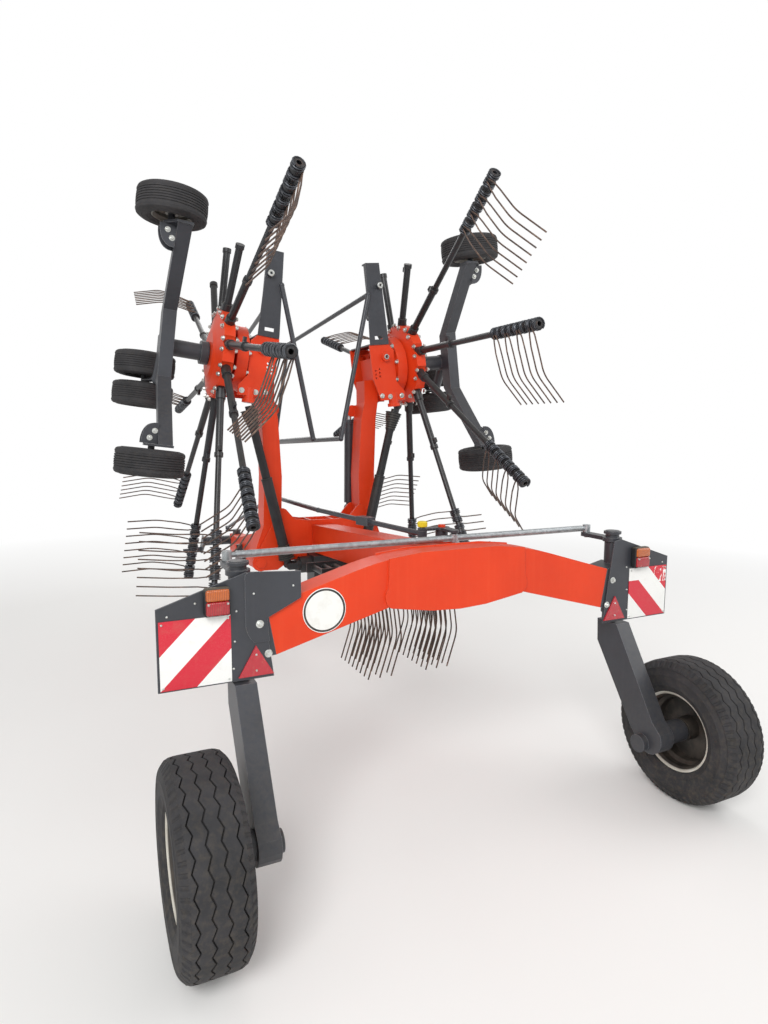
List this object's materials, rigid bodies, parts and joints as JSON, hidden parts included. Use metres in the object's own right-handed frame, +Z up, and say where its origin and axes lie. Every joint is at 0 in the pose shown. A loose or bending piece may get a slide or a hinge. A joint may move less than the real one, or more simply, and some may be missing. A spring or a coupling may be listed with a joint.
{
  "type": "rotary hay rake",
  "caption": "Trailed twin-rotor hay rake folded for transport, with steered rear wheels, tined rotors on folding booms, stored tine bars and a parking stand.",
  "frame": {"origin": "on the ground, below the middle of the machine's overall length and width", "axes": "+Y forwards to the tractor hitch, +X to the machine's right, +Z up"},
  "size_m": [2.8576, 5.6476, 3.4591],
  "materials": {
    "red_paint": "semi-gloss, faded and dusty",
    "grey_paint": "semi-gloss dark slate",
    "black_paint": "satin black, chipped",
    "galvanised": "galvanised, dull",
    "rod_steel": "polished rod",
    "tine_steel": "rusty spring steel",
    "rim_paint": "cream, dusty",
    "tyre_rubber": "matte, dusty",
    "board_sheet": "white sheet with red stripes",
    "lamp_lens": "amber and red lens",
    "reflector_red": "red prism",
    "guard_black": "black shaft guard"
  },
  "bodies": {
    "frame": {"main_beam": "red_paint", "crossbeam": "red_paint", "pivot_frame": "red_paint", "centre_gearbox": "black_paint", "kingpin_housings": "grey_paint", "lamp_brackets": "grey_paint", "warning_boards": "board_sheet", "lamps": "lamp_lens", "reflectors": "reflector_red", "stored_bars": "black_paint", "stored_tines": "tine_steel"},
    "headstock": {"headstock": "grey_paint"},
    "stand": {"parking_stand": "grey_paint"},
    "tie_rod": {"tie_rod": "galvanised"},
    "steering_lever": {"steering_lever": "grey_paint"},
    "steering_rod": {"steering_rod": "black_paint"},
    "left_knuckle": {"left_leg": "grey_paint"},
    "left_wheel": {"left_rim": "rim_paint", "left_tyre": "tyre_rubber"},
    "right_knuckle": {"right_leg": "grey_paint"},
    "right_wheel": {"right_rim": "rim_paint", "right_tyre": "tyre_rubber"},
    "left_boom": {"left_boom": "red_paint", "left_gearbox": "red_paint", "left_mast": "grey_paint", "left_axle": "grey_paint"},
    "left_rotor": {"left_shell": "red_paint", "left_arms": "black_paint", "left_tines": "tine_steel"},
    "left_wheel_top": {"left_rim_top": "rim_paint", "left_tyre_top": "tyre_rubber"},
    "left_wheel_low": {"left_rim_low": "rim_paint", "left_tyre_low": "tyre_rubber"},
    "left_wheels_front": {"left_rims_front": "rim_paint", "left_tyres_front": "tyre_rubber"},
    "left_barrel": {"left_barrel": "grey_paint"},
    "left_rod": {"left_rod": "rod_steel"},
    "left_shaft": {"left_shaft": "guard_black"},
    "left_shaft_end": {"left_shaft_end": "guard_black"},
    "right_boom": {"right_boom": "red_paint", "right_gearbox": "red_paint", "right_mast": "grey_paint", "right_axle": "grey_paint"},
    "right_rotor": {"right_shell": "red_paint", "right_arms": "black_paint", "right_tines": "tine_steel"},
    "right_wheel_top": {"right_rim_top": "rim_paint", "right_tyre_top": "tyre_rubber"},
    "right_wheel_low": {"right_rim_low": "rim_paint", "right_tyre_low": "tyre_rubber"},
    "right_wheels_front": {"right_rims_front": "rim_paint", "right_tyres_front": "tyre_rubber"},
    "right_barrel": {"right_barrel": "grey_paint"},
    "right_rod": {"right_rod": "rod_steel"},
    "right_shaft": {"right_shaft": "guard_black"},
    "right_shaft_end": {"right_shaft_end": "guard_black"}
  },
  "joints": [
    {"name": "headstock_swivel", "type": "hinge", "parent": "frame", "child": "headstock", "pos_m": [0, 2.475, 0.745], "axis": [0, 0, 1], "range_deg": [-45, 45]},
    {"name": "centre_lever_turn", "type": "hinge", "parent": "frame", "child": "steering_lever", "pos_m": [0.14, -1.755, 1.445], "axis": [0, 0, 1], "range_deg": [-38, 38]},
    {"name": "steering_rod_eye", "type": "hinge", "parent": "steering_lever", "child": "steering_rod", "pos_m": [0.02, -1.755, 1.424], "axis": [0, 0, 1], "range_deg": [-38, 38]},
    {"name": "left_steer", "type": "hinge", "parent": "frame", "child": "left_knuckle", "pos_m": [-1.048, -2.085, 1.19], "axis": [0, 0, 1], "range_deg": [-22.6, 22.6]},
    {"name": "left_wheel_spin", "type": "hinge", "parent": "left_knuckle", "child": "left_wheel", "pos_m": [-1.29, -2.445, 0.38], "axis": [-1, 0, 0], "continuous": true},
    {"name": "right_steer", "type": "hinge", "parent": "frame", "child": "right_knuckle", "pos_m": [1.048, -2.085, 1.19], "axis": [0, 0, 1], "range_deg": [-22.6, 22.6]},
    {"name": "right_wheel_spin", "type": "hinge", "parent": "right_knuckle", "child": "right_wheel", "pos_m": [1.29, -2.445, 0.38], "axis": [1, 0, 0], "continuous": true},
    {"name": "tie_rod_pin", "type": "hinge", "parent": "left_knuckle", "child": "tie_rod", "pos_m": [-1.048, -1.88, 1.414], "axis": [0, 0, 1], "range_deg": [-22.6, 22.6]},
    {"name": "stand_swing", "type": "hinge", "parent": "frame", "child": "stand", "pos_m": [-0.117, 1.875, 0.79], "axis": [-1, 0, 0], "range_deg": [0, 88]},
    {"name": "left_boom_fold", "type": "hinge", "parent": "frame", "child": "left_boom", "pos_m": [-0.46538, -0.19, 1.04253], "axis": [0, -1, 0], "range_deg": [0, 96]},
    {"name": "left_rotor_spin", "type": "hinge", "parent": "left_boom", "child": "left_rotor", "pos_m": [-0.703, -0.19, 2.481], "axis": [-0.9929, 0, 0.1189], "continuous": true},
    {"name": "left_wheel_top_spin", "type": "hinge", "parent": "left_boom", "child": "left_wheel_top", "pos_m": [-1.03957, -0.58, 3.28674], "axis": [0.1189, 0, 0.9929], "continuous": true},
    {"name": "left_wheel_low_spin", "type": "hinge", "parent": "left_boom", "child": "left_wheel_low", "pos_m": [-1.22033, -0.58, 1.77753], "axis": [0.1189, 0, 0.9929], "continuous": true},
    {"name": "left_wheels_front_spin", "type": "hinge", "parent": "left_boom", "child": "left_wheels_front", "pos_m": [-1.15433, 0.22, 2.32859], "axis": [0.1189, 0, 0.9929], "continuous": true},
    {"name": "left_cylinder_swing", "type": "hinge", "parent": "frame", "child": "left_barrel", "pos_m": [-0.305, -0.052, 1.378], "axis": [0, -1, 0], "range_deg": [0, 103]},
    {"name": "left_cylinder_stroke", "type": "slide", "parent": "left_barrel", "child": "left_rod", "axis": [-0.0072, 0, 1], "range_m": [0, 0.541]},
    {"name": "left_shaft_swing", "type": "hinge", "parent": "frame", "child": "left_shaft", "pos_m": [-0.285, -0.35, 1.02], "axis": [0, -1, 0], "range_deg": [0, 84.8]},
    {"name": "left_shaft_telescope", "type": "slide", "parent": "left_shaft", "child": "left_shaft_end", "axis": [-0.2327, 0, 0.9726], "range_m": [0, 0.125]},
    {"name": "right_boom_fold", "type": "hinge", "parent": "frame", "child": "right_boom", "pos_m": [0.46538, -0.19, 1.04253], "axis": [0, 1, 0], "range_deg": [0, 96]},
    {"name": "right_rotor_spin", "type": "hinge", "parent": "right_boom", "child": "right_rotor", "pos_m": [0.703, -0.19, 2.481], "axis": [0.9929, 0, 0.1189], "continuous": true},
    {"name": "right_wheel_top_spin", "type": "hinge", "parent": "right_boom", "child": "right_wheel_top", "pos_m": [1.03957, -0.58, 3.28674], "axis": [-0.1189, 0, 0.9929], "continuous": true},
    {"name": "right_wheel_low_spin", "type": "hinge", "parent": "right_boom", "child": "right_wheel_low", "pos_m": [1.22033, -0.58, 1.77753], "axis": [-0.1189, 0, 0.9929], "continuous": true},
    {"name": "right_wheels_front_spin", "type": "hinge", "parent": "right_boom", "child": "right_wheels_front", "pos_m": [1.15433, 0.22, 2.32859], "axis": [-0.1189, 0, 0.9929], "continuous": true},
    {"name": "right_cylinder_swing", "type": "hinge", "parent": "frame", "child": "right_barrel", "pos_m": [0.305, -0.052, 1.378], "axis": [0, 1, 0], "range_deg": [0, 103]},
    {"name": "right_cylinder_stroke", "type": "slide", "parent": "right_barrel", "child": "right_rod", "axis": [0.0072, 0, 1], "range_m": [0, 0.541]},
    {"name": "right_shaft_swing", "type": "hinge", "parent": "frame", "child": "right_shaft", "pos_m": [0.285, -0.35, 1.02], "axis": [0, 1, 0], "range_deg": [0, 84.8]},
    {"name": "right_shaft_telescope", "type": "slide", "parent": "right_shaft", "child": "right_shaft_end", "axis": [0.2327, 0, 0.9726], "range_m": [0, 0.125]}
  ],
  "couplings": [
    {"joint": "centre_lever_turn", "follows": "headstock_swivel", "ratio": 0.8333},
    {"joint": "steering_rod_eye", "follows": "headstock_swivel", "ratio": -0.8333},
    {"joint": "left_steer", "follows": "headstock_swivel", "ratio": -0.49},
    {"joint": "right_steer", "follows": "headstock_swivel", "ratio": -0.49},
    {"joint": "tie_rod_pin", "follows": "headstock_swivel", "ratio": 0.49},
    {"joint": "left_cylinder_swing", "follows": "left_boom_fold", "ratio": 1.0707},
    {"joint": "left_cylinder_stroke", "follows": "left_boom_fold", "m_per_rad": 0.32241},
    {"joint": "left_shaft_swing", "follows": "left_boom_fold", "ratio": 0.8814},
    {"joint": "left_shaft_telescope", "follows": "left_boom_fold", "m_per_rad": 0.07387},
    {"joint": "right_cylinder_swing", "follows": "right_boom_fold", "ratio": 1.0707},
    {"joint": "right_cylinder_stroke", "follows": "right_boom_fold", "m_per_rad": 0.32241},
    {"joint": "right_shaft_swing", "follows": "right_boom_fold", "ratio": 0.8814},
    {"joint": "right_shaft_telescope", "follows": "right_boom_fold", "m_per_rad": 0.07387}
  ]
}
